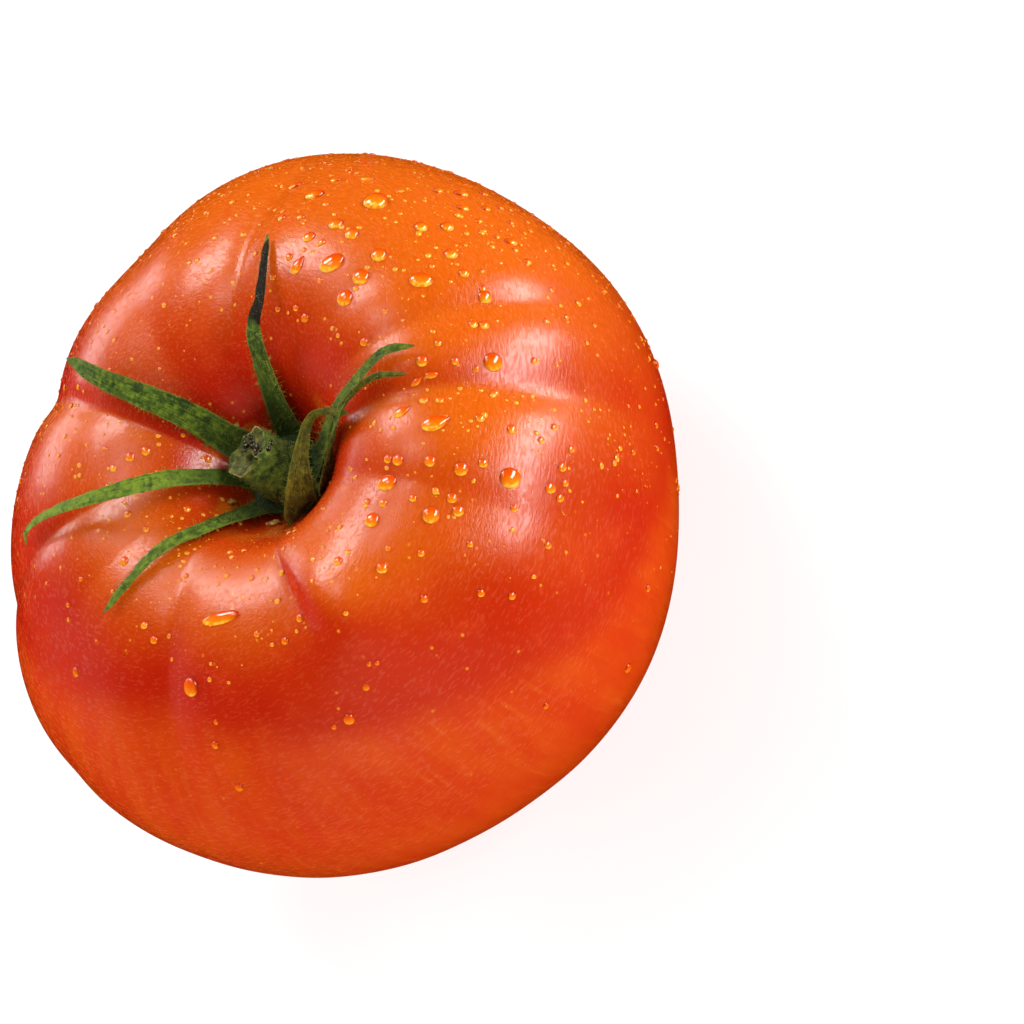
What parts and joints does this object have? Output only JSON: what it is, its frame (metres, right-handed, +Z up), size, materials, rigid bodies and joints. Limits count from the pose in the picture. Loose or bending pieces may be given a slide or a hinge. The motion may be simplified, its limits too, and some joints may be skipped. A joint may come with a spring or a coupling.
{
  "type": "tomato",
  "caption": "Ribbed beefsteak tomato as picked, standing on its blossom end, with a spread calyx in its stem hollow and a short snapped stem.",
  "frame": {"origin": "middle of the flat spot on the blossom end that the fruit rests on", "axes": "+Z up, from the blossom end to the stem end; -Y towards the side that the picture shows best; +X to the right of that side"},
  "size_m": [0.0945, 0.0928, 0.0666],
  "materials": {
    "skin": "ripe orange-red skin, glossy and waxy, with fine wrinkles and water drops",
    "calyx": "hairy green sepals, one dried black towards its tip, one olive brown",
    "stem": "hairy olive green stub with a brown broken end"
  },
  "bodies": {
    "root": {"fruit": "skin", "calyx": "calyx", "stem": "stem"}
  },
  "joints": []
}
